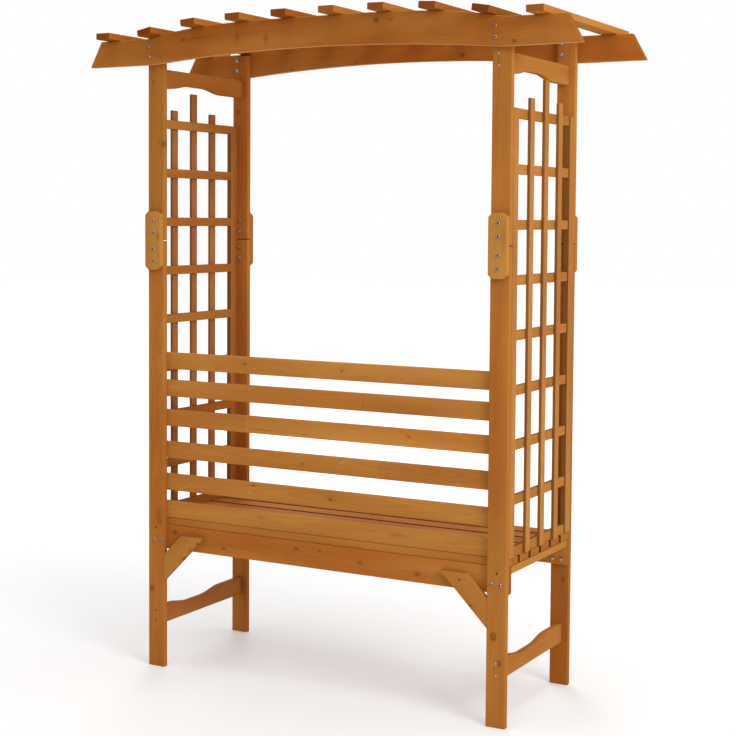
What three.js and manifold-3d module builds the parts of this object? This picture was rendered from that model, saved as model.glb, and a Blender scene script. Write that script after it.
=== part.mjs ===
// Arbour seat of stained softwood: a bench for two or three people under a slatted roof, with a
// slatted backrest, a trellis at each end and four posts that are spliced at mid height.
//
// Lengths are in millimetres. X runs along the bench, Y from the backrest (rear) to the open
// front, Z up. The origin lies on the ground, in the middle of the object's box. Left is -X.

import * as THREE from 'three';
import { mergeVertices } from 'three/addons/utils/BufferGeometryUtils.js';
import Module from 'manifold-3d';

const wasm = await Module();
wasm.setup();

// Overall frame
const frameLength = 1240; // over the outer edges of the posts
const frameDepth = 488; // over the outer faces of the posts

// Posts, each of two lengths with a plate bolted over the joint
const postWidth = 59;
const postThickness = 19;
const postJointHeight = 1354;
const postJointGap = 2;
const postTopDrop = 6; // below the level ends of the roof beams
const spliceHeight = 184;
const spliceThickness = 19;
const spliceCorner = 12;

// Roof beams
const beamOverhang = 213; // of the underside beyond the posts
const beamThickness = 21;
const beamUnderside = 1900; // height of the level ends
const beamEndDepth = 80;
const beamEndCut = 44; // how far each end slants in towards the top
const beamTopRise = 36.5;
const beamTopArchInset = 10; // of the raised part of the top edge from the posts' outer edges
const beamTopFullness = 3.5; // 2 is a plain parabola, more is flatter in the middle
const beamLowerRise = 28;
const archSteps = 24;

// Roof slats
const roofSlatCount = 10;
const roofSlatWidth = 52;
const roofSlatThickness = 19.5;
const roofSlatLeftMargin = 21; // from the beam's upper left corner to the first slat
const roofSlatRightMargin = 47;
const roofSlatRearOverhang = 52; // beyond the rear beam
const roofSlatFrontOverhang = 86;
const roofSlatSeat = 0.3; // play between a tilted slat and the arched edge

// Wavy side rails: the top rails hang with the hollow down, the stretchers lie with it up
const sideRailDepth = 58;
const sideRailThickness = 19;
const sideRailHollow = 14;
const sideRailHollowShift = 35; // of its middle towards the rear
const sideRailShoulder = 82; // from the post to the hollow, before that shift
const sideRailFlat = 76; // the hollow's flat middle
const shoulderSteps = 10;
const topRailDrop = 10; // below the underside of the beams
const stretcherUnderside = 133;

// Seat
const seatHeight = 478;
const seatSlatCount = 6;
const seatSlatGap = 12;
const seatSlatThickness = 24;
const apronHeight = 77;
const apronThickness = 19;
const battenWidth = 30;
const battenHeight = 21;

// Backrest
const backSlatHeight = 52;
const backSlatThickness = 19;
const backSlatEndPlay = 1.5; // between a slat's end and the trellis
const backGapShares = [0.67, 0.97, 0.95, 0.81, 0.67]; // of a slat's height, from the seat up

// Knee braces
const braceWidth = 59;
const braceThickness = 19;
const braceDrop = 26; // below the top of the apron
const braceRise = 149;

// Trellis panels, which stand on the seat
const stileWidth = 35;
const stileThickness = 16;
const trellisRailHeight = 28;
const trellisRailThickness = 12;
const trellisRailCount = 9;
const trellisTenon = 12; // of the rails into the stiles
const trellisHeight = 1258;
const trellisRailPitch = 154.8;
const lathWidth = 30;
const lathThickness = 10;
const lathPitch = 104.5;
const lathShift = 3; // of the laths from the panel's middle towards the rear
const outerLathLength = 1291;
const middleLathLength = 1350;

// Faces that several pieces share
const endX = frameLength / 2;
const postInnerX = endX - postWidth;
const postMidX = endX - postWidth / 2;
const roofSlatLength =
  roofSlatRearOverhang + beamThickness + frameDepth + beamThickness + roofSlatFrontOverhang;
const rearFace = -roofSlatLength / 2 + roofSlatRearOverhang + beamThickness;
const frontFace = rearFace + frameDepth;
const rearInner = rearFace + postThickness;
const frontInner = frontFace - postThickness;
const midY = (rearInner + frontInner) / 2;
const innerDepth = frontInner - rearInner;
const beamLength = frameLength + 2 * beamOverhang;
const beamTop = beamUnderside + beamEndDepth;
const seatUnderside = seatHeight - seatSlatThickness;
const railInnerX = endX - stileThickness;
const railOuterX = railInnerX + trellisRailThickness;
const lathOuterX = railOuterX + lathThickness;

const sides = [['left', -1], ['right', 1]];
const arbour = new THREE.Group();

function timber(colour) {
  return new THREE.MeshStandardMaterial({ color: colour, roughness: 0.6, metalness: 0 });
}

function add(name, geometry, colour) {
  const mesh = new THREE.Mesh(geometry, timber(colour));
  mesh.name = name;
  arbour.add(mesh);
  return mesh;
}

// A square-edged board between two opposite corners.
function boardGeometry(low, high) {
  const box = new THREE.Box3(new THREE.Vector3(...low), new THREE.Vector3(...high));
  const size = box.getSize(new THREE.Vector3());
  const centre = box.getCenter(new THREE.Vector3());
  return new THREE.BoxGeometry(size.x, size.y, size.z).translate(centre.x, centre.y, centre.z);
}

function board(name, low, high, colour) {
  return add(name, boardGeometry(low, high), colour);
}

// A board sawn to an outline. The outline's points are (along, up); the thickness lies
// across it, in Y where the board runs along X and in X where it runs along Y.
function sawn(outline, thickness, runs) {
  const shape = new THREE.Shape(outline.map(([along, up]) => new THREE.Vector2(along, up)));
  const geometry = new THREE.ExtrudeGeometry(shape, { depth: thickness, bevelEnabled: false });
  geometry.translate(0, 0, -thickness / 2);
  const up = new THREE.Vector3(0, 0, 1);
  const along = runs === 'x' ? new THREE.Vector3(1, 0, 0) : new THREE.Vector3(0, 1, 0);
  const across = new THREE.Vector3().crossVectors(along, up);
  return geometry.applyMatrix4(new THREE.Matrix4().makeBasis(along, up, across));
}

function solid(geometry) {
  const bare = geometry.clone();
  bare.deleteAttribute('normal');
  bare.deleteAttribute('uv');
  const merged = mergeVertices(bare);
  return new wasm.Manifold(new wasm.Mesh({
    numProp: 3,
    vertProperties: new Float32Array(merged.attributes.position.array),
    triVerts: new Uint32Array(merged.index.array),
  }));
}

function fromSolid(body) {
  const mesh = body.getMesh();
  const geometry = new THREE.BufferGeometry();
  geometry.setAttribute('position', new THREE.BufferAttribute(mesh.vertProperties, 3));
  geometry.setIndex(new THREE.BufferAttribute(mesh.triVerts, 1));
  return geometry;
}

// Posts and splice plates
function posts() {
  const rows = [['rear', rearFace, rearInner, -1], ['front', frontInner, frontFace, 1]];
  for (const [row, near, far, outward] of rows) {
    for (const [end, side] of sides) {
      const [low, high] = [side * postInnerX, side * endX].sort((a, b) => a - b);
      const jointLow = postJointHeight - postJointGap / 2;
      const jointHigh = postJointHeight + postJointGap / 2;
      board(`lower_post_${row}_${end}`, [low, near, 0], [high, far, jointLow], 0xb56a24);
      board(`upper_post_${row}_${end}`,
        [low, near, jointHigh], [high, far, beamTop - postTopDrop], 0xb86e28);
      const plate = add(`splice_plate_${row}_${end}`, spliceGeometry(), 0xba7029);
      const outerFace = outward < 0 ? near : far;
      plate.position.set(
        side * postMidX, outerFace + outward * spliceThickness / 2, postJointHeight);
    }
  }
}

function spliceGeometry() {
  const x = postWidth / 2;
  const z = spliceHeight / 2;
  const c = spliceCorner;
  const outline = [
    [-x, -z + c], [-x + c, -z], [x - c, -z], [x, -z + c],
    [x, z - c], [x - c, z], [-x + c, z], [-x, z - c],
  ];
  return sawn(outline, spliceThickness, 'x');
}

// Roof. The beams' top edge rises between the posts, and their underside is hollowed from the
// middle of one post to the middle of the other.
const topArchHalf = endX - beamTopArchInset;

function beamTopAt(x) {
  const share = Math.min(Math.abs(x) / topArchHalf, 1);
  return beamTop + beamTopRise * (1 - share ** beamTopFullness);
}

function beamTopSlope(x) {
  const share = Math.abs(x) / topArchHalf;
  if (share >= 1) {
    return 0;
  }
  const steepest = beamTopFullness * beamTopRise / topArchHalf;
  return -Math.sign(x) * steepest * share ** (beamTopFullness - 1);
}

function beamLowerAt(x) {
  return beamUnderside + beamLowerRise * (1 - (x / postMidX) ** 2);
}

function beamGeometry() {
  const lowerEnd = beamLength / 2;
  const upperEnd = lowerEnd - beamEndCut;
  const outline = [[-lowerEnd, beamUnderside]];
  for (let i = -archSteps; i <= archSteps; i += 2) {
    const x = postMidX * i / archSteps;
    outline.push([x, beamLowerAt(x)]);
  }
  outline.push([lowerEnd, beamUnderside], [upperEnd, beamTop]);
  for (let i = archSteps; i >= -archSteps; i -= 2) {
    const x = topArchHalf * i / archSteps;
    outline.push([x, beamTopAt(x)]);
  }
  outline.push([-upperEnd, beamTop]);
  return sawn(outline, beamThickness, 'x');
}

function roof() {
  const rear = add('roof_beam_rear', beamGeometry(), 0xa4601f);
  rear.position.y = rearFace - beamThickness / 2;
  const front = add('roof_beam_front', beamGeometry(), 0x9c5a1f);
  front.position.y = frontFace + beamThickness / 2;
  const firstX = -beamLength / 2 + beamEndCut + roofSlatLeftMargin + roofSlatWidth / 2;
  const lastX = beamLength / 2 - beamEndCut - roofSlatRightMargin - roofSlatWidth / 2;
  for (let i = 0; i < roofSlatCount; i++) {
    const x = THREE.MathUtils.lerp(firstX, lastX, i / (roofSlatCount - 1));
    const slat = add(`roof_slat_${i + 1}`,
      new THREE.BoxGeometry(roofSlatWidth, roofSlatLength, roofSlatThickness), 0xc07a30);
    const tilt = Math.atan(beamTopSlope(x));
    const lift = roofSlatSeat + roofSlatThickness / 2;
    slat.position.set(x - lift * Math.sin(tilt), 0, beamTopAt(x) + lift * Math.cos(tilt));
    slat.rotation.y = -tilt;
  }
}

// Side rails. Each end of the hollow is a smooth step down from a level shoulder to the flat middle.
// The top rails are drawn hollow side up too, and turned over.
function sideRailGeometry(hollowUp) {
  const half = innerDepth / 2;
  const edge = sideRailDepth / 2;
  const middle = hollowUp ? -sideRailHollowShift : sideRailHollowShift;
  const curveLength = half - sideRailShoulder - sideRailFlat / 2;
  const curve = [];
  for (let i = 0; i <= shoulderSteps; i++) {
    const share = i / shoulderSteps;
    const y = sideRailFlat / 2 + curveLength * (1 - share);
    curve.push([y, edge - sideRailHollow * THREE.MathUtils.smoothstep(share, 0, 1)]);
  }
  const outline = [
    [-half, -edge], [half, -edge], [half, edge],
    ...curve.map(([y, z]) => [middle + y, z]),
    ...curve.map(([y, z]) => [middle - y, z]).reverse(),
    [-half, edge],
  ];
  const geometry = sawn(outline, sideRailThickness, 'y');
  return hollowUp ? geometry : geometry.rotateX(Math.PI);
}

function sideRails() {
  for (const [end, side] of sides) {
    const top = add(`top_rail_${end}`, sideRailGeometry(false), 0xb4691f);
    const topRailTop = beamUnderside - topRailDrop;
    top.position.set(side * postMidX, midY, topRailTop - sideRailDepth / 2);
    const low = add(`stretcher_${end}`, sideRailGeometry(true), 0xad6122);
    low.position.set(side * postMidX, midY, stretcherUnderside + sideRailDepth / 2);
  }
}

// Seat
function seat() {
  const apronLow = seatUnderside - apronHeight;
  board('apron_rear',
    [-endX, rearInner, apronLow], [endX, rearInner + apronThickness, seatUnderside], 0xaa601f);
  board('apron_front',
    [-endX, frontInner - apronThickness, apronLow], [endX, frontInner, seatUnderside], 0xaa601f);
  const bearers = [
    ['seat_batten_left', -endX + battenWidth / 2],
    ['seat_bearer_middle', 0],
    ['seat_batten_right', endX - battenWidth / 2],
  ];
  for (const [name, x] of bearers) {
    board(name,
      [x - battenWidth / 2, rearInner + apronThickness, seatUnderside - battenHeight],
      [x + battenWidth / 2, frontInner - apronThickness, seatUnderside], 0xc58036);
  }
  const width = (innerDepth - (seatSlatCount - 1) * seatSlatGap) / seatSlatCount;
  for (let i = 0; i < seatSlatCount; i++) {
    const y = rearInner + i * (width + seatSlatGap);
    board(`seat_slat_${i + 1}`,
      [-endX, y, seatUnderside], [endX, y + width, seatHeight], 0xbb7429);
  }
}

// Backrest
function backrest() {
  const reach = railInnerX - backSlatEndPlay;
  let low = seatHeight;
  for (let i = 0; i <= backGapShares.length; i++) {
    board(`back_slat_${i + 1}`,
      [-reach, rearInner, low], [reach, rearInner + backSlatThickness, low + backSlatHeight],
      0xbe772a);
    low += backSlatHeight * (1 + (backGapShares[i] ?? 0));
  }
}

// Knee braces at 45 degrees, level at the top and plumb against the posts
function kneeBraces() {
  const cut = braceWidth * Math.SQRT2;
  const braceBottom = seatUnderside - braceDrop - braceRise;
  for (const [end, side] of sides) {
    const outline = [[0, 0], [0, cut], [cut - braceRise, braceRise], [-braceRise, braceRise]];
    const geometry = sawn(outline.map(([x, z]) => [side * x, z]), braceThickness, 'x');
    const brace = add(`knee_brace_${end}`, geometry, 0xb06a26);
    brace.position.set(side * postInnerX, rearFace + braceThickness / 2, braceBottom);
  }
}

// Trellis panels: rails let into two stiles, flush with their inner faces, and laths on the outside
// of the rails. The rails hang at an even pitch from the top of the panel, but for the lowest, which
// lies on the seat.
function spanX(side, inner, outer) {
  return side < 0 ? [-outer, -inner] : [inner, outer];
}

function trellisFrame(side) {
  const [railLow, railHigh] = spanX(side, railInnerX, railOuterX);
  const [stileLow, stileHigh] = spanX(side, railInnerX, endX);
  const stileReach = stileWidth - trellisTenon;
  const trellisTop = seatHeight + trellisHeight;
  const railLows = [seatHeight];
  for (let i = 0; i < trellisRailCount - 1; i++) {
    railLows.push(trellisTop - trellisRailHeight - i * trellisRailPitch);
  }
  const pieces = railLows.map((low) => boardGeometry(
    [railLow, rearInner + stileReach, low],
    [railHigh, frontInner - stileReach, low + trellisRailHeight]));
  for (const y of [rearInner, frontInner - stileWidth]) {
    pieces.push(boardGeometry(
      [stileLow, y, seatHeight], [stileHigh, y + stileWidth, trellisTop]));
  }
  return fromSolid(pieces.map(solid).reduce((whole, piece) => whole.add(piece)));
}

function trellises() {
  const laths = [
    ['rear', -1, outerLathLength],
    ['middle', 0, middleLathLength],
    ['front', 1, outerLathLength],
  ];
  for (const [end, side] of sides) {
    add(`trellis_frame_${end}`, trellisFrame(side), 0xb86d28);
    const [lathLow, lathHigh] = spanX(side, railOuterX, lathOuterX);
    for (const [row, place, length] of laths) {
      const y = midY - lathShift + place * lathPitch - lathWidth / 2;
      board(`trellis_lath_${end}_${row}`,
        [lathLow, y, seatHeight], [lathHigh, y + lathWidth, seatHeight + length], 0xc88440);
    }
  }
}

posts();
roof();
sideRails();
seat();
backrest();
kneeBraces();
trellises();

export default arbour;
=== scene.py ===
# Arbour seat of stained softwood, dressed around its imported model: boards with grain, knots and
# eased edges, zinc-plated bolts and screws, and trellis panels of separate rails and laths.
import math
import random

import bmesh
import bpy
from mathutils import Matrix, Vector


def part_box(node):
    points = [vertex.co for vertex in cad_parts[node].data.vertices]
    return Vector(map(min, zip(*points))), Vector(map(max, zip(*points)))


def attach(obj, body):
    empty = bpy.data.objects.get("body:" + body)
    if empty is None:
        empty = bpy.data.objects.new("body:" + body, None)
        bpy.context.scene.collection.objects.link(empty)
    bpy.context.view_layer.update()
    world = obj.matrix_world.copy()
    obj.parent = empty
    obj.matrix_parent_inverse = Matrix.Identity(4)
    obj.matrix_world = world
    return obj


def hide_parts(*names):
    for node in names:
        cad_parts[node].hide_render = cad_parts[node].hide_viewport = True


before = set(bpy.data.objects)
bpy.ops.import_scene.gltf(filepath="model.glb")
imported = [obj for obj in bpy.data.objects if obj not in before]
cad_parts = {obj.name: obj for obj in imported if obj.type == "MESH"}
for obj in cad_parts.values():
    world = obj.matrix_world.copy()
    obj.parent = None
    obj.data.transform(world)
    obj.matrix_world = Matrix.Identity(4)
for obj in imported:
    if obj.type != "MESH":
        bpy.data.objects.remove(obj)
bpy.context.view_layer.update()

# The camera stands behind the backrest, off its right end, about 1.4 m above the floor. Its place
# was fitted to the seat's edges and outline in the photograph.
picture_width = 736
principal_point = (373.4, 300.0)
camera_place = (2.3232, -4.1015, 1.4257)
camera_heading = 0.50677
camera_droop = 0.05321
camera_roll = 0.00697
camera_data = bpy.data.cameras.new("camera")
camera_data.sensor_width = 36
camera_data.lens = 74.31
camera_data.shift_x = (picture_width / 2 - principal_point[0]) / picture_width
camera_data.shift_y = (principal_point[1] - picture_width / 2) / picture_width
camera = bpy.data.objects.new("camera", camera_data)
camera.matrix_world = (
    Matrix.Translation(camera_place)
    @ Matrix.Rotation(camera_heading, 4, "Z")
    @ Matrix.Rotation(math.pi / 2 - camera_droop, 4, "X")
    @ Matrix.Rotation(camera_roll, 4, "Z")
)
bpy.context.scene.collection.objects.link(camera)
bpy.context.scene.camera = camera

# The studio is a matt white floor in a white room. One large soft lamp stands to the right of the
# camera, a weaker one off the open front, and a broad one hangs overhead.
bpy.context.scene.view_settings.view_transform = "Standard"


class Socket:
    """A node's output that takes part in sums: each operator adds a Math node."""

    def __init__(self, finish, socket):
        self.finish = finish
        self.socket = socket

    def maths(self, operation, first, second=0.0):
        return self.finish.node("Math", {"operation": operation}, {0: first, 1: second})

    def __add__(self, other):
        return self.maths("ADD", self, other)

    def __radd__(self, other):
        return self.maths("ADD", other, self)

    def __sub__(self, other):
        return self.maths("SUBTRACT", self, other)

    def __rsub__(self, other):
        return self.maths("SUBTRACT", other, self)

    def __mul__(self, other):
        return self.maths("MULTIPLY", self, other)

    def __rmul__(self, other):
        return self.maths("MULTIPLY", other, self)

    def __truediv__(self, other):
        return self.maths("DIVIDE", self, other)

    def __pow__(self, other):
        return self.maths("POWER", self, other)

    def __abs__(self):
        return self.maths("ABSOLUTE", self)


class Finish:
    """A node tree under construction, for a material or for the world."""

    def __init__(self, owner):
        owner.use_nodes = True
        self.tree = owner.node_tree
        self.tree.nodes.clear()

    def node(self, kind, settings=None, sockets=None, output=0):
        made = self.tree.nodes.new("ShaderNode" + kind)
        for name, value in (settings or {}).items():
            if name == "stops":
                for element, (place, colour) in zip(made.color_ramp.elements, value):
                    element.position = place
                    element.color = (*colour, 1)
            else:
                setattr(made, name, value)
        for name, value in (sockets or {}).items():
            if isinstance(value, Socket):
                self.tree.links.new(value.socket, made.inputs[name])
            else:
                made.inputs[name].default_value = value
        return Socket(self, made.outputs[output]) if made.outputs else None


def seen_directly(finish):
    """1 where the camera sees a surface itself, or sees it mirrored or through something clear."""
    camera_ray = finish.node("LightPath", output="Is Camera Ray")
    glossy_ray = finish.node("LightPath", output="Is Glossy Ray")
    through_ray = finish.node("LightPath", output="Is Transmission Ray")
    return camera_ray + glossy_ray + through_ray


white = (1, 1, 1, 1)
room_light = 0.62
room = bpy.data.worlds.new("white_room")
bpy.context.scene.world = room
room_finish = Finish(room)
room_glow = room_finish.node("Background", {}, {
    "Color": white, "Strength": room_light + seen_directly(room_finish) * (1 - room_light)})
room_finish.node("OutputWorld", {}, {"Surface": room_glow})

floor_radius = 30
floor_white = (0.78, 0.78, 0.78, 1)
floor_lift_start = 0.8
floor_lift_end = 10.0
floor_lift_near = 0.20
floor_lift_far = 0.58
floor_mesh = bpy.data.meshes.new("floor")
floor_shape = bmesh.new()
bmesh.ops.create_circle(floor_shape, cap_ends=True, segments=96, radius=floor_radius)
floor_shape.to_mesh(floor_mesh)
floor_shape.free()
floor = bpy.data.objects.new("floor", floor_mesh)
bpy.context.scene.collection.objects.link(floor)
floor_material = bpy.data.materials.new("floor_paint")
floor_finish = Finish(floor_material)
floor_paint = floor_finish.node("BsdfDiffuse", {}, {"Color": floor_white})
floor_place = floor_finish.node("TexCoord", output="Object")
floor_distance = floor_finish.node(
    "VectorMath", {"operation": "LENGTH"}, {0: floor_place}, output="Value")
floor_lift = floor_finish.node("MapRange", {"interpolation_type": "SMOOTHSTEP"}, {
    "Value": floor_distance, "From Min": floor_lift_start, "From Max": floor_lift_end,
    "To Min": floor_lift_near, "To Max": floor_lift_far})
floor_glow = floor_finish.node("Emission", {}, {
    "Color": white, "Strength": seen_directly(floor_finish) * floor_lift})
floor_surface = floor_finish.node("AddShader", {}, {0: floor_paint, 1: floor_glow})
floor_finish.node("OutputMaterial", {}, {"Surface": floor_surface})
floor_mesh.materials.append(floor_material)


def soft_lamp(name, place, aim, size, power):
    data = bpy.data.lights.new(name, "AREA")
    data.shape = "DISK"
    data.size = size
    data.energy = power
    lamp = bpy.data.objects.new(name, data)
    lamp.location = place
    lamp.rotation_euler = (Vector(aim) - Vector(place)).to_track_quat("-Z", "Y").to_euler()
    bpy.context.scene.collection.objects.link(lamp)


soft_lamp("lamp_right", place=(5.7, -2.9, 3.4), aim=(0, 0, 1), size=3.2, power=205)
soft_lamp("lamp_front", place=(-3.5, 5.0, 3.4), aim=(0, 0, 1), size=3.0, power=120)
soft_lamp("lamp_overhead", place=(0.5, -0.5, 6.0), aim=(0, 0, 0), size=4.0, power=90)

# The posts are planed softwood of 59 by 19 mm, each in two lengths, with eased edges and a matt
# honey-brown stain. Every board in the seat has this finish and its own cut of the grain.
edge_radius = 0.002
stain_red = (0.400, 0.120, 0.019)
stain_honey = (0.520, 0.228, 0.048)
end_stain = (0.147, 0.019, 0.0045, 1)
# A pale colour for the beams' top and bottom faces: partly paler sawn wood, partly a painted
# highlight of the floor's light.
pale_wood_and_highlight = (0.75, 0.36, 0.14, 1)
knot_brown = (0.125, 0.028, 0.010, 1)
streak_brown = (0.150, 0.038, 0.012, 1)
honey_spread = 0.08  # the most that a board's tone may differ from the one it is given
light_spread = 0.03

# Growth rings stand round the tree's middle, which lies beside each board and wanders along it
pattern_reach = 50
pith_side = 0.03
pith_depths = (0.02, 0.06)
pith_wander = 0.05
wander_scale = (1.6, 3.0, 3.0)
wander_deep_scale = (1.1, 3.0, 3.0)
ripple_scale = (9.0, 60.0, 60.0)
ring_widths = (0.0022, 0.0036)
ring_ripple = 0.7
ring_darkening = 0.22
late_tint = (0.62, 0.50, 0.42, 1)
late_start = 0.35
late_end = 0.9

# A knot has a brown core with a darker rim, both measured in knot radii, and bends the rings
knot_core = (0.60, 1.25)
knot_rim = (0.35, 0.80)
knot_rim_shares = (0.1, 0.5)
knot_core_share = 0.85
knot_halo = 0.15
knot_length_share = 0.6
knot_ripple = 0.5
knot_strength = 0.68
grain_bend = 0.75
bend_length_share = 0.25
bend_sharpness = 0.25

# Stain takes unevenly, in broad drifts, long clouds and fine fibres. Finger joints, cracks and
# worn places are darker, and so are ends, with more stain in them. Over each sunk screw a dark
# round spot is painted: painted shade in the screw's hole.
drift_scale = (2.0, 9.0, 9.0)
drift_steps = (0.25, 0.75)
cloud_scale = (2.5, 22.0, 22.0)
fibre_scale = (18.0, 900.0, 900.0)
end_facing = (0.5, 0.75)
edge_facing = (0.6, 0.8)
stain_drift = 0.28
stain_level = 0.77
cloud_level = 0.38
fibre_level = 0.08
joint_line = 0.0014
joint_level = 0.66
joint_step = 0.0005
# A sunk screw's hole is painted dark: painted shade.
sunk_hole = (0.0024, 0.0050)
sunk_hole_shade = 0.22
streak_level = 0.7
streak_ripple = 0.6
wood_roughness = 0.68
cloud_roughness = 0.14
end_roughness = 0.1
grain_relief = 0.0004
relief_strength = 0.3


def mix_colours(finish, share, first, second, blend="MIX"):
    settings = {"data_type": "RGBA", "blend_type": blend}
    return finish.node("Mix", settings, {0: share, 6: first, 7: second}, output=2)


def stretched_noise(finish, place, scale, shift, detail=2.0):
    stretched = finish.node("Mapping", {}, {"Vector": place, "Scale": scale, "Location": shift})
    return finish.node("TexNoise", {}, {"Vector": stretched, "Scale": 1.0, "Detail": detail})


def smooth_step(finish, value, low, high):
    return finish.node("MapRange", {"interpolation_type": "SMOOTHSTEP"}, {
        "Value": value, "From Min": low, "From Max": high})


def bell(finish, squared):
    """1 where a squared distance is nothing, fading to 0 round about."""
    return finish.node("Math", {"operation": "EXPONENT"}, {0: squared * -1.0})


def facing(finish, direction, low, high):
    """1 on faces that look along a direction or against it."""
    normal = finish.node("NewGeometry", output="Normal")
    lean = finish.node(
        "VectorMath", {"operation": "DOT_PRODUCT"}, {0: normal, 1: direction}, output="Value")
    return smooth_step(finish, abs(lean), low, high)


def growth_rings(finish, place, spot, shift, draw, knots):
    """The rings' dark late wood, the ripple in it and a mask of the knots. Spot is the place's
    three parts."""
    x, y, z = spot
    pith_across = draw.uniform(-pith_side, pith_side)
    pith_deep = draw.choice((-1, 1)) * draw.uniform(*pith_depths)
    wander = stretched_noise(finish, place, wander_scale, shift, detail=1.0)
    wander_deep = stretched_noise(finish, place, wander_deep_scale, shift[::-1], detail=1.0)
    ripple = stretched_noise(finish, place, ripple_scale, shift)
    bent = y - pith_across + (wander - 0.5) * pith_wander
    deep = z - pith_deep + (wander_deep - 0.5) * pith_wander
    knot_mask = 0.0
    for knot_x, knot_y, radius in knots:
        from_x = x - knot_x
        from_y = y - knot_y
        squared = from_x * from_x * bend_length_share + from_y * from_y
        near = bell(finish, squared * (bend_sharpness / radius ** 2))
        bent = bent - from_y * near * grain_bend
        squared = from_x * from_x * knot_length_share + from_y * from_y
        away = squared ** 0.5 / radius + (ripple - 0.5) * knot_ripple
        core = 1 - smooth_step(finish, away, *knot_core)
        rim = core * smooth_step(finish, away, *knot_rim)
        rim_share = draw.uniform(*knot_rim_shares)
        mask = core * (knot_core_share - rim_share) + rim * rim_share + near * knot_halo
        knot_mask = knot_mask + mask
    distance = (bent * bent + deep * deep) ** 0.5
    ring_width = draw.uniform(*ring_widths)
    ring = finish.node("Math", {"operation": "FRACT"}, {
        0: distance / ring_width + (ripple - 0.5) * ring_ripple})
    late_stops = [(late_start, (0, 0, 0)), (late_end, (1, 1, 1))]
    late = finish.node("ValToRGB", {"stops": late_stops}, {0: ring})
    return late * (1 - smooth_step(finish, ring, late_end, 1.0)), ripple, knot_mask


def stained_wood(name, middle, along, across, honey=0.4, dark=0.0, thin_stain=0.0, sheen=0.02,
                 edge_stain_and_shading=0.0, pale_edges=0.0, end_dark=0.40, knots=(), streaks=(), joints=(),
                 sunk_screws=()):
    """Stained softwood for one board. Knots are (along, across, radius), streaks (along, across,
    half length, half width, strength), finger joints (along, how much lighter the wood is beyond)
    and sunk screws (along, across), all in metres from the board's middle. Honey sets the tone
    between red (0) and honey (1), and dark is the share of light that the board lacks."""
    draw = random.Random(name)
    material = bpy.data.materials.new("wood_" + name)
    finish = Finish(material)
    turn = Matrix((along, across, along.cross(across))).transposed().to_euler()
    place = finish.node("Mapping", {"vector_type": "TEXTURE"}, {
        "Vector": finish.node("TexCoord", output="Object"), "Location": middle, "Rotation": turn})
    x, y, z = (finish.node("SeparateXYZ", {}, {0: place}, output=axis) for axis in "XYZ")
    shift = tuple(draw.uniform(0, pattern_reach) for axis in "XYZ")
    late, ripple, knot_mask = growth_rings(finish, place, (x, y, z), shift, draw, knots)
    drift = stretched_noise(finish, place, drift_scale, shift[::-1], detail=1.0)
    cloud = stretched_noise(finish, place, cloud_scale, shift, detail=3.0)
    fibre = stretched_noise(finish, place, fibre_scale, shift)
    end_grain = facing(finish, along, *end_facing)
    edge_grain = facing(finish, across, *edge_facing)

    honey = honey + draw.uniform(-honey_spread, honey_spread)
    light = (1 - dark) * draw.uniform(1 - light_spread, 1 + light_spread)
    tones = []
    for share in (honey - stain_drift, honey + stain_drift):
        red, green, blue = (light * (r + (h - r) * share) for r, h in zip(stain_red, stain_honey))
        tones.append((red, green, blue + thin_stain, 1))
    colour = mix_colours(finish, smooth_step(finish, drift, *drift_steps), *tones)
    colour = mix_colours(finish, late * ring_darkening, colour, late_tint, "MULTIPLY")

    level = stain_level + cloud * cloud_level + fibre * fibre_level
    for joint_x, lighter in joints:
        line = smooth_step(finish, abs(x - joint_x), 0.0, joint_line)
        beyond = smooth_step(finish, x, joint_x, joint_x + joint_step)
        level = level * (joint_level + line * (1 - joint_level)) * (1 + beyond * lighter)
    # Faces along the board's width are darkened here: more stain on sawn edges, and painted shade
    # on sides in shadow, such as the seat slats' sides in the gaps. Below 0 it lightens them:
    # painted light.
    level = level * (1 - edge_grain * edge_stain_and_shading)
    # Each sunk screw's hole is a painted dark spot: painted shade.
    for screw_x, screw_y in sunk_screws:
        from_x = x - screw_x
        from_y = y - screw_y
        hole = smooth_step(finish, (from_x * from_x + from_y * from_y) ** 0.5, *sunk_hole)
        level = level * (sunk_hole_shade + hole * (1 - sunk_hole_shade))
    colour = finish.node("HueSaturation", {}, {"Value": level, "Color": colour})

    # Faces along the board's width are mixed toward a pale colour: on the beams partly paler sawn
    # wood, partly a painted highlight of the floor's light on the undersides.
    if pale_edges:
        colour = mix_colours(finish, edge_grain * pale_edges, colour, pale_wood_and_highlight)
    colour = mix_colours(finish, end_grain * end_dark, colour, end_stain)
    if knots:
        colour = mix_colours(finish, knot_mask * knot_strength, colour, knot_brown)
    for streak_x, streak_y, half_length, half_width, strength in streaks:
        from_x = (x - streak_x) / half_length
        from_y = (y - streak_y) / half_width
        worn = bell(finish, from_x * from_x + from_y * from_y)
        share = worn * (streak_level + ripple * streak_ripple) * strength
        colour = mix_colours(finish, share, colour, streak_brown)

    bump = finish.node("Bump", {}, {
        "Strength": relief_strength, "Distance": grain_relief, "Height": 0.5 * (late + fibre)})
    surface = finish.node("BsdfPrincipled", {}, {
        "Base Color": colour, "Normal": bump, "Specular IOR Level": sheen,
        "Roughness": wood_roughness + cloud * cloud_roughness + end_grain * end_roughness})
    finish.node("OutputMaterial", {}, {"Surface": surface})
    return material


def board_axes(low, high):
    """A board's middle and its unit vectors along the grain and across the wide face."""
    size = high - low
    order = sorted(range(3), key=lambda axis: -size[axis])
    along, across = (Vector([float(axis == chosen) for axis in range(3)]) for chosen in order[:2])
    return (low + high) / 2, along, across


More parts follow.
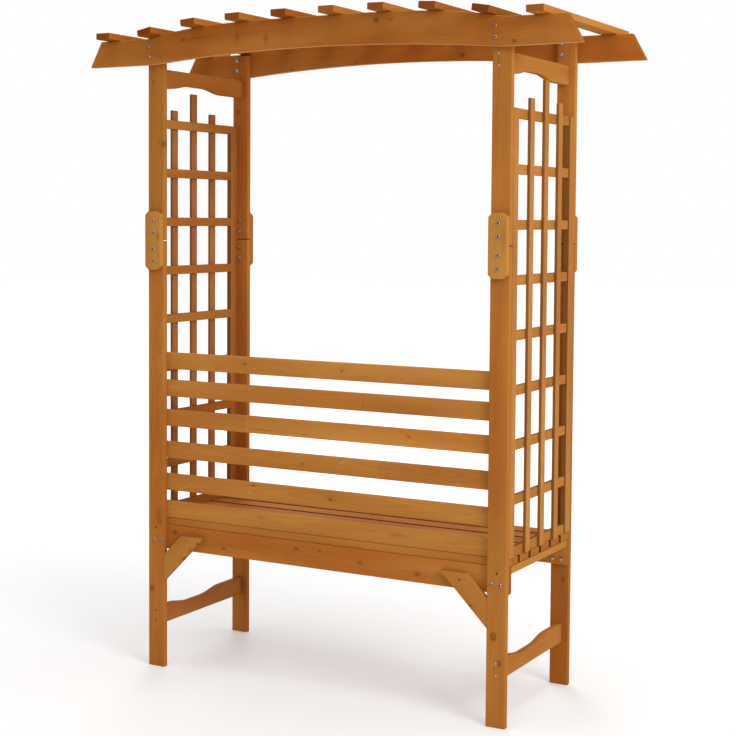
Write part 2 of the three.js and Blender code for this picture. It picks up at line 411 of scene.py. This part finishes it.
def finish_board(node, radius=edge_radius, axes=None, **looks):
    """Eases the edges of a board of the frame and gives it its wood."""
    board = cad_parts[node]
    weld = board.modifiers.new("weld", "WELD")
    weld.merge_threshold = 1e-5
    faces = board.modifiers.new("faces", "DECIMATE")
    faces.decimate_type = "DISSOLVE"
    faces.angle_limit = math.radians(0.1)
    eased = board.modifiers.new("eased_edges", "BEVEL")
    eased.width = radius
    eased.segments = 2
    eased.limit_method = "ANGLE"
    eased.angle_limit = math.radians(25)
    middle, along, across = axes or board_axes(*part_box(node))
    board.data.materials.clear()
    board.data.materials.append(stained_wood(node, middle, along, across, **looks))


# Most posts' narrow side faces are lightened by a negative edge value: painted light, where the
# lamp at the right falls on them.
post_looks = {
    "upper_post_rear_left": {
        "honey": 0.36, "dark": 0.04, "edge_stain_and_shading": -0.02, "knots": [(-0.010, 0.0278, 0.007)],
        "streaks": [(-0.002, 0.014, 0.008, 0.006, 0.30)]},
    "upper_post_rear_right": {
        "honey": 0.58, "dark": 0.04, "edge_stain_and_shading": -0.12,
        "streaks": [(0.199, -0.0105, 0.017, 0.0016, 0.65), (0.158, -0.0100, 0.014, 0.0014, 0.45)]},
    # The front posts are redder than the rear ones: a painted shade tint, as their faces stand in
    # the shade under the seat and roof.
    "upper_post_front_left": {
        "honey": 0.24, "dark": -0.07, "edge_stain_and_shading": -0.05, "knots": [(0.12, -0.008, 0.005)]},
    "upper_post_front_right": {"honey": 0.26, "dark": -0.06, "edge_stain_and_shading": -0.10},
    "lower_post_rear_left": {
        "honey": 0.46, "dark": -0.02, "edge_stain_and_shading": -0.02, "knots": [(-0.429, -0.0180, 0.008)],
        "streaks": [(-0.196, 0.0090, 0.024, 0.013, 0.40), (-0.213, 0.0170, 0.007, 0.005, 0.45)],
        "sunk_screws": [(-0.232, -0.0025)]},
    "lower_post_rear_right": {
        "honey": 0.46, "dark": 0.03, "edge_stain_and_shading": 0.02,
        "knots": [(-0.418, -0.0081, 0.0105), (-0.491, 0.0105, 0.007)],
        "sunk_screws": [(-0.238, 0.0005)]},
    "lower_post_front_left": {"honey": 0.20, "dark": -0.09, "edge_stain_and_shading": -0.05},
    "lower_post_front_right": {
        "honey": 0.28, "dark": 0.06, "edge_stain_and_shading": -0.05, "knots": [(-0.35, 0.012, 0.005)]},
}
for post, looks in post_looks.items():
    finish_board(post, **looks)

# Splice plates are short offcuts of the post timber with sawn corners. Each covers the joint in
# one post on the outside, where the two lengths are bolted to it.
plate_honey = {"rear": 0.85, "front": 0.45}
plate_streaks = {
    "left": [(0.012, 0.021, 0.010, 0.005, 0.50)], "right": [(0.026, 0.018, 0.044, 0.010, 0.26)]}
for row, honey in plate_honey.items():
    for end, streaks in plate_streaks.items():
        finish_board(
            f"splice_plate_{row}_{end}", radius=0.003, honey=honey, dark=0.02, streaks=streaks)

# The splice bolts are M6 bolts of zinc-plated steel with low round heads and a hexagon socket.
# Four stand in a column through each plate and post, with a washer and a nut on the inside.
splice_bolt_columns = {
    "rear": {"left": -0.5865, "right": 0.5935}, "front": {"left": -0.5905, "right": 0.5805}}
splice_bolt_heights = (1.291, 1.328, 1.380, 1.417)
bolt_head = [
    (0.0056, 0.0, False), (0.0056, 0.0012, False), (0.0050, 0.0028, False),
    (0.0042, 0.0036, False), (0.0036, 0.0038, False), (0.0029, 0.0036, True),
    (0.0027, 0.0004, True)]
socket_ring = 5
washer_and_nut = [
    (0.0064, 0.0, False), (0.0064, 0.0012, False), (0.0050, 0.0012, True), (0.0050, 0.0058, True),
    (0.0044, 0.0064, False), (0.0029, 0.0064, False), (0.0029, 0.0090, False),
    (0.0023, 0.0096, False)]
zinc_grey = (0.56, 0.50, 0.43, 1)
zinc_shade = (0.24, 0.20, 0.16, 1)
# Near-black colours for the bolt sockets: painted shade in the recess, with some grime.
socket_dark = (0.030, 0.022, 0.016, 1)
socket_grime_and_shade = (0.060, 0.045, 0.030, 1)
roughness_spread = 0.2


def clouded_metal(name, scale, shade, bright, roughness, detail=2.0, metallic=1.0, sheen=0.5):
    """A surface whose colour and roughness drift in small clouds."""
    material = bpy.data.materials.new(name)
    finish = Finish(material)
    cloud = finish.node("TexNoise", {}, {
        "Vector": finish.node("TexCoord", output="Object"), "Scale": scale, "Detail": detail})
    surface = finish.node("BsdfPrincipled", {}, {
        "Base Color": mix_colours(finish, cloud, shade, bright), "Metallic": metallic,
        "Specular IOR Level": sheen, "Roughness": roughness + cloud * roughness_spread})
    finish.node("OutputMaterial", {}, {"Surface": surface})
    return material


zinc = clouded_metal("zinc_plate", 260.0, zinc_shade, zinc_grey, roughness=0.24, detail=3.0)
# The insides of the bolt heads' sockets take a near-black material: painted shade in the recess,
# with some grime.
shaded_grimy_socket = clouded_metal(
    "bolt_socket", 900.0, socket_dark, socket_grime_and_shade, roughness=0.5, metallic=0.0, sheen=0.2)


def add_turned(shape, rings, place, sides=18, socket_from=None):
    """Adds a closed piece round a place's Z axis. Rings are (radius, height, six_sided), and the
    faces beyond the ring socket_from take the second material."""
    loops = []
    for index, (radius, height, six_sided) in enumerate(rings):
        corners = bmesh.ops.create_circle(
            shape, cap_ends=index in (0, len(rings) - 1), segments=sides, radius=radius)["verts"]
        loop = {edge for corner in corners for edge in corner.link_edges}
        for corner in corners:
            if six_sided:
                angle = math.atan2(corner.co.y, corner.co.x)
                off_flat = (angle + math.pi / 6) % (math.pi / 3) - math.pi / 6
                corner.co *= 1 / math.cos(off_flat)
            corner.co.z = height
            corner.co = place @ corner.co
        loops.append(list(loop))
    for index, (lower, upper) in enumerate(zip(loops, loops[1:])):
        walls = bmesh.ops.bridge_loops(shape, edges=lower + upper)["faces"]
        if socket_from is not None and index >= socket_from:
            for wall in walls:
                wall.material_index = 1
    if socket_from is not None:
        for face in corners[0].link_faces:
            face.material_index = 1


def outward(x, y, z, axis, side, turn=0.0):
    """A place on a face that looks along X, Y or Z, with its own Z pointing out of the face."""
    away = Vector([float(name == axis) * side for name in "xyz"])
    tilt = away.to_track_quat("Z", "Y").to_matrix().to_4x4()
    return Matrix.Translation((x, y, z)) @ tilt @ Matrix.Rotation(turn, 4, "Z")


def finish_hardware(name, shape, *materials):
    """Turns a shape into a piece of hardware that stays with the frame."""
    bmesh.ops.recalc_face_normals(shape, faces=shape.faces)
    mesh = bpy.data.meshes.new(name)
    shape.to_mesh(mesh)
    shape.free()
    mesh.shade_smooth()
    mesh.set_sharp_from_angle(angle=math.radians(35))
    for material in materials:
        mesh.materials.append(material)
    piece = bpy.data.objects.new(name, mesh)
    bpy.context.scene.collection.objects.link(piece)
    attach(piece, "root")


def bolt_row(name, places, head_face, nut_face, side):
    """Bolts through boards from one face to another, at (x, z) places. Side is the heads' side."""
    draw = random.Random(name)
    shape = bmesh.new()
    for x, z in places:
        head = outward(x, head_face, z, "y", side, draw.uniform(0, math.pi))
        add_turned(shape, bolt_head, head, socket_from=socket_ring)
        nut = outward(x, nut_face, z, "y", -side, draw.uniform(0, math.pi))
        add_turned(shape, washer_and_nut, nut)
    finish_hardware(name, shape, zinc, shaded_grimy_socket)


def face_of(node, side):
    """The Y of a board's face on its rear (-1) or front (1) side."""
    low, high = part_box(node)
    return high.y if side > 0 else low.y


row_sides = {"rear": -1, "front": 1}
post_outsides = {row: face_of(f"upper_post_{row}_left", side) for row, side in row_sides.items()}
post_insides = {row: face_of(f"upper_post_{row}_left", -side) for row, side in row_sides.items()}
for row, side in row_sides.items():
    for end, x in splice_bolt_columns[row].items():
        bolt_row(
            f"splice_bolts_{row}_{end}", [(x, z) for z in splice_bolt_heights],
            face_of(f"splice_plate_{row}_{end}", side), post_insides[row], side)

# Side rails are boards of 58 by 19 mm with a shallow hollow sawn into one edge: below in the two
# top rails, above in the two stretchers. They stand between the posts of each end.
top_rail_honey = {"left": 0.16, "right": 0.60}
stretcher_looks = {"left": {"honey": 0.24, "thin_stain": 0.012}, "right": {"honey": 0.68}}
for end, looks in stretcher_looks.items():
    finish_board(f"top_rail_{end}", honey=top_rail_honey[end], dark=-0.02)
    finish_board(f"stretcher_{end}", dark=0.04, **looks)

# Two small wood screws through each post hold the end of a side rail. Their flat heads have a
# recess and stand just proud of the wood. The heads at the left end are brown with stain.
screw_head = [(0.0035, 0.0, False), (0.0033, 0.0004, False), (0.0014, 0.0006, False),
              (0.0010, 0.0002, False)]
rail_screw_places = {
    "top_rail_screws_left": (-0.600, (1.884, 1.850)),
    "top_rail_screws_right": (0.581, (1.883, 1.850)),
    "stretcher_screws_left": (-0.592, (0.180, 0.148)),
    "stretcher_screws_right": (0.592, (0.184, 0.150)),
}
screw_brown = (0.17, 0.11, 0.07, 1)
screw_shade = (0.06, 0.04, 0.025, 1)
stained_steel = clouded_metal("screw_steel", 400.0, screw_shade, screw_brown, roughness=0.40)


def screw_group(name, places, metal=stained_steel):
    """Screw heads on faces, at (x, y, z, axis, side) places."""
    shape = bmesh.new()
    for place in places:
        add_turned(shape, screw_head, outward(*place), sides=12)
    finish_hardware(name, shape, metal)


for name, (x, heights) in rail_screw_places.items():
    screw_group(name, [
        (x, post_outsides[row], z, "y", side) for row, side in row_sides.items() for z in heights],
        metal=stained_steel if x < 0 else zinc)

# Aprons are boards of 77 by 19 mm on edge, bolted to the insides of the posts under the seat, with
# two M6 bolts side by side in each post.
apron_knots = {
    "rear": [(-0.532, 0.0160, 0.0075), (-0.513, 0.0060, 0.003), (-0.346, -0.0145, 0.0055),
             (-0.080, 0.0145, 0.006), (0.003, 0.0165, 0.004), (0.141, -0.002, 0.005),
             (0.332, -0.013, 0.006)],
    "front": [(0.210, 0.010, 0.006)],
}
apron_bolt_places = {
    "rear": {
        "left": ((-0.598, 0.407), (-0.571, 0.406)), "right": ((0.575, 0.408), (0.602, 0.407))},
    "front": {
        "left": ((-0.604, 0.396), (-0.577, 0.395)), "right": ((0.577, 0.394), (0.604, 0.394))},
}
for row, side in row_sides.items():
    finish_board(f"apron_{row}", honey=0.31, dark=-0.12, knots=apron_knots[row])
    for end, places in apron_bolt_places[row].items():
        bolt_row(
            f"apron_bolts_{row}_{end}", places, post_outsides[row], face_of(f"apron_{row}", -side),
            side)

# Knee braces are offcuts of the post timber, sawn at 45 degrees. Each stands against the edge of
# its post, and one screw holds it to the back of the rear apron.
brace_along = {"left": Vector((1, 0, 1)).normalized(), "right": Vector((-1, 0, 1)).normalized()}
brace_looks = {
    "left": {
        "knots": [(0.049, 0.020, 0.004), (0.004, 0.002, 0.006)],
        "streaks": [(0.042, -0.004, 0.008, 0.004, 0.55)]},
    "right": {"knots": [(-0.030, 0.006, 0.004)]},
}
brace_screw_places = {"left": (-0.431, 0.409), "right": (0.476, 0.408)}
for end, along in brace_along.items():
    low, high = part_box(f"knee_brace_{end}")
    across = Vector((0, 1, 0)).cross(along)
    finish_board(
        f"knee_brace_{end}", honey=0.42, axes=((low + high) / 2, along, across),
        **brace_looks[end])
    x, z = brace_screw_places[end]
    screw_group(f"knee_brace_screws_{end}", [(x, low.y, z, "y", -1)])

# Two battens of 30 by 21 mm carry the ends of the seat slats, and a bearer like them carries the
# slats' middle. They run from apron to apron.
seat_bearers = ("seat_batten_left", "seat_bearer_middle", "seat_batten_right")
for bearer in seat_bearers:
    finish_board(bearer, honey=0.80, dark=0.08)

# The six seat slats are planed boards of 65 by 24 mm with well-rounded long edges, laid 12 mm
# apart and screwed from below through the battens and the bearer.
rear_slat_looks = {"honey": 0.40, "dark": -0.14, "edge_stain_and_shading": 0.12}
# The other slats' side faces, which face the gaps, are darkened strongly: painted shade between
# the slats.
other_slat_looks = {"honey": 0.36, "edge_stain_and_shading": 0.75}
seat_screw_offset = 0.016
seat_screw_margin = 0.005
seat_screw_places = []
for number in range(1, 7):
    finish_board(
        f"seat_slat_{number}", radius=0.0045, end_dark=0.22,
        **(rear_slat_looks if number == 1 else other_slat_looks))
    low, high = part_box(f"seat_slat_{number}")
    for bearer in seat_bearers:
        bearer_low, bearer_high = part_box(bearer)
        x = (bearer_low.x + bearer_high.x) / 2
        for offset in (-seat_screw_offset, seat_screw_offset):
            y = (low.y + high.y) / 2 + offset
            if bearer_low.y + seat_screw_margin < y < bearer_high.y - seat_screw_margin:
                seat_screw_places.append((x, y, bearer_low.z, "z", -1))
screw_group("seat_screws", seat_screw_places)

# The six back slats are planed boards of 52 by 19 mm, some of them joined from shorter lengths
# with finger joints. They are screwed to the rear posts from the sitter's side.
back_slat_knots = {
    2: [(-0.235, 0.018, 0.004), (0.038, 0.000, 0.005)],
    3: [(-0.060, -0.004, 0.004)],
    4: [(0.300, 0.004, 0.004)],
    6: [(-0.268, 0.006, 0.004), (0.075, 0.002, 0.004)],
}
back_slat_joints = {3: [(0.208, -0.04)], 4: [(-0.270, 0.10)], 5: [(0.147, -0.03)]}
back_slat_streaks = {
    1: [(0.270, 0.004, 0.030, 0.006, 0.30), (-0.207, 0.010, 0.012, 0.005, 0.28)],
    4: [(-0.205, -0.0125, 0.060, 0.0012, 0.60), (-0.090, -0.0150, 0.060, 0.0012, 0.40)],
}
back_screw_x = 0.579
back_screw_inset = 0.013
back_screw_places = []
for number in range(1, 7):
    finish_board(
        f"back_slat_{number}", radius=0.0025, honey=0.67, dark=-0.05,
        knots=back_slat_knots.get(number, ()), joints=back_slat_joints.get(number, ()),
        streaks=back_slat_streaks.get(number, ()))
    low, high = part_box(f"back_slat_{number}")
    for x in (-back_screw_x, back_screw_x):
        for z in (low.z + back_screw_inset, high.z - back_screw_inset):
            back_screw_places.append((x, high.y, z, "y", 1))
screw_group("back_slat_screws", back_screw_places)

# The two roof beams are sawn from boards of 120 by 21 mm, arched above and below, with slanted
# ends. Each is bolted to the outsides of two posts, with two M6 bolts one above the other.
beam_bolt_columns = {"left": -0.600, "right": 0.578}
beam_bolt_heights = (1.925, 1.957)
beam_knots = {
    "rear": [(-0.471, 0.0120, 0.0065), (0.205, 0.0350, 0.0085), (0.635, -0.0465, 0.0055)],
    "front": [(0.233, -0.0160, 0.0065), (-0.398, -0.036, 0.0030), (-0.153, -0.0265, 0.0030)],
}
beam_streaks = {
    "rear": [(-0.418, 0.0165, 0.034, 0.0016, 0.60), (-0.362, 0.0205, 0.028, 0.0014, 0.50),
             (-0.190, 0.0225, 0.110, 0.0013, 0.30), (-0.271, 0.0100, 0.006, 0.013, 0.42),
             (-0.169, 0.0000, 0.008, 0.015, 0.50), (0.250, 0.0345, 0.014, 0.0035, 0.50)],
    "front": [],
}
beam_dark = {"rear": 0.03, "front": -0.06}
# The beams' top and bottom faces are mixed toward a pale colour: partly paler sawn wood, partly a
# painted highlight of the floor's light.
for row, side in row_sides.items():
    finish_board(
        f"roof_beam_{row}", honey=0.17, dark=beam_dark[row], sheen=0.0, pale_edges=0.75,
        end_dark=0.27, knots=beam_knots[row], streaks=beam_streaks[row])
    for end, x in beam_bolt_columns.items():
        bolt_row(
            f"beam_bolts_{row}_{end}", [(x, z) for z in beam_bolt_heights],
            face_of(f"roof_beam_{row}", side), post_insides[row], side)

# Ten roof slats of 52 by 19.5 mm lie across the beams. Two screws, sunk below the surface, hold
# each slat to each beam. The screws are not drawn; their holes are painted as dark spots: painted
# shade.
roof_slat_ends = {1: 0.52, 2: 0.66, 6: 0.45}
roof_slat_honey = {2: 0.10, 3: 0.30, 5: 0.26, 6: 0.55, 10: 0.60}
roof_slat_dark = {4: 0.06, 6: -0.04, 8: 0.20, 9: 0.23, 10: -0.10}
roof_screw_offset = 0.013
beam_middles = [
    (face_of(f"roof_beam_{row}", -1) + face_of(f"roof_beam_{row}", 1)) / 2 for row in row_sides]
roof_screws = [(y, x) for y in beam_middles for x in (-roof_screw_offset, roof_screw_offset)]
for number in range(1, 11):
    finish_board(
        f"roof_slat_{number}", radius=0.0015, honey=roof_slat_honey.get(number, 0.18),
        dark=roof_slat_dark.get(number, 0.02), sheen=0.0,
        end_dark=roof_slat_ends.get(number, 0.60), sunk_screws=roof_screws)

# A trellis panel's two stiles, 35 by 16 mm, stand on the seat against the posts, and nine rails
# of 28 by 12 mm are let into them. They are sawn strips, darker on their edge faces: stain soaks
# into the sawn grain there, and painted shade darkens them too.
end_sides = {"left": -1, "right": 1}
stile_width = 0.035
rail_height = 0.028
rail_thickness = 0.012
rail_pitch = 0.1548
strip_radius = 0.001
# The strips' edge faces are darker: stain in the sawn grain, and painted shade.
strip_edge_stain_and_shade = 0.50
# The left panel's strips are redder than the right's: partly painted shade, as the left end gets
# less light.
strip_looks = {"left": {"honey": 0.30, "dark": 0.06}, "right": {"honey": 0.70, "dark": 0.05}}


def trellis_strip(name, low, high, panel, **looks):
    """Makes a stile or a rail, which the frame has as part of a whole panel."""
    shape = bmesh.new()
    bmesh.ops.create_cube(shape, size=1)
    bmesh.ops.scale(shape, vec=high - low, verts=shape.verts)
    bmesh.ops.translate(shape, vec=(low + high) / 2, verts=shape.verts)
    bmesh.ops.bevel(
        shape, geom=shape.edges, offset=strip_radius, affect="EDGES", segments=2, profile=0.5,
        material=-1)
    bmesh.ops.recalc_face_normals(shape, faces=shape.faces)
    mesh = bpy.data.meshes.new(name)
    shape.to_mesh(mesh)
    shape.free()
    mesh.materials.append(
        stained_wood(name, *board_axes(low, high), edge_stain_and_shading=strip_edge_stain_and_shade, **looks))
    strip = bpy.data.objects.new(name, mesh)
    bpy.context.scene.collection.objects.link(strip)
    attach(strip, "root")
    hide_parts(panel)


seat_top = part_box("trellis_frame_left")[0].z
panel_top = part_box("trellis_frame_left")[1].z
rail_undersides = [seat_top] + sorted(panel_top - rail_height - i * rail_pitch for i in range(8))
rail_insides = {}
for end, side in end_sides.items():
    panel = f"trellis_frame_{end}"
    low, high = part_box(panel)
    rear_inside = low.y + stile_width
    front_inside = high.y - stile_width
    for row, y_low, y_high in (("rear", low.y, rear_inside), ("front", front_inside, high.y)):
        trellis_strip(
            f"trellis_stile_{end}_{row}", Vector((low.x, y_low, low.z)),
            Vector((high.x, y_high, high.z)), panel, thin_stain=0.008, **strip_looks[end])
    rail_insides[end] = low.x if side > 0 else high.x
    x_low, x_high = sorted((rail_insides[end], rail_insides[end] + side * rail_thickness))
    for number, underside in enumerate(rail_undersides, start=1):
        trellis_strip(
            f"trellis_rail_{end}_{number}", Vector((x_low, rear_inside, underside)),
            Vector((x_high, front_inside, underside + rail_height)), panel, thin_stain=0.002,
            **strip_looks[end])

# Three laths of 30 by 10 mm cross each panel's rails on the outside, the middle one longer than
# its neighbours. Every crossing has a wire staple through the rail.
# The left panel's laths are darker and redder than the right's: partly painted shade, as the left
# end gets less light.
lath_looks = {
    "left": {"honey": 0.54, "dark": 0.13, "thin_stain": 0.020, "edge_stain_and_shading": 0.32},
    "right": {"honey": 0.76, "dark": 0.04, "thin_stain": 0.010, "edge_stain_and_shading": 0.42},
}
staple_size = (0.0007, 0.009, 0.0011)
staple_stray = 0.004
staple_turns = (0.2, 1.2)
for end, looks in lath_looks.items():
    draw = random.Random("staples_" + end)
    staples = bmesh.new()
    for row in ("rear", "middle", "front"):
        lath = f"trellis_lath_{end}_{row}"
        finish_board(lath, **looks)
        low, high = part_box(lath)
        for underside in rail_undersides:
            crown = bmesh.ops.create_cube(staples, size=1)["verts"]
            z = underside + rail_height / 2 + draw.uniform(-staple_stray, staple_stray)
            y = (low.y + high.y) / 2 + draw.uniform(-staple_stray, staple_stray)
            turn = Matrix.Rotation(draw.uniform(*staple_turns), 3, "X")
            bmesh.ops.scale(staples, vec=staple_size, verts=crown)
            bmesh.ops.rotate(staples, cent=(0, 0, 0), verts=crown, matrix=turn)
            bmesh.ops.translate(staples, vec=(rail_insides[end], y, z), verts=crown)
    finish_hardware(f"trellis_staples_{end}", staples, stained_steel)
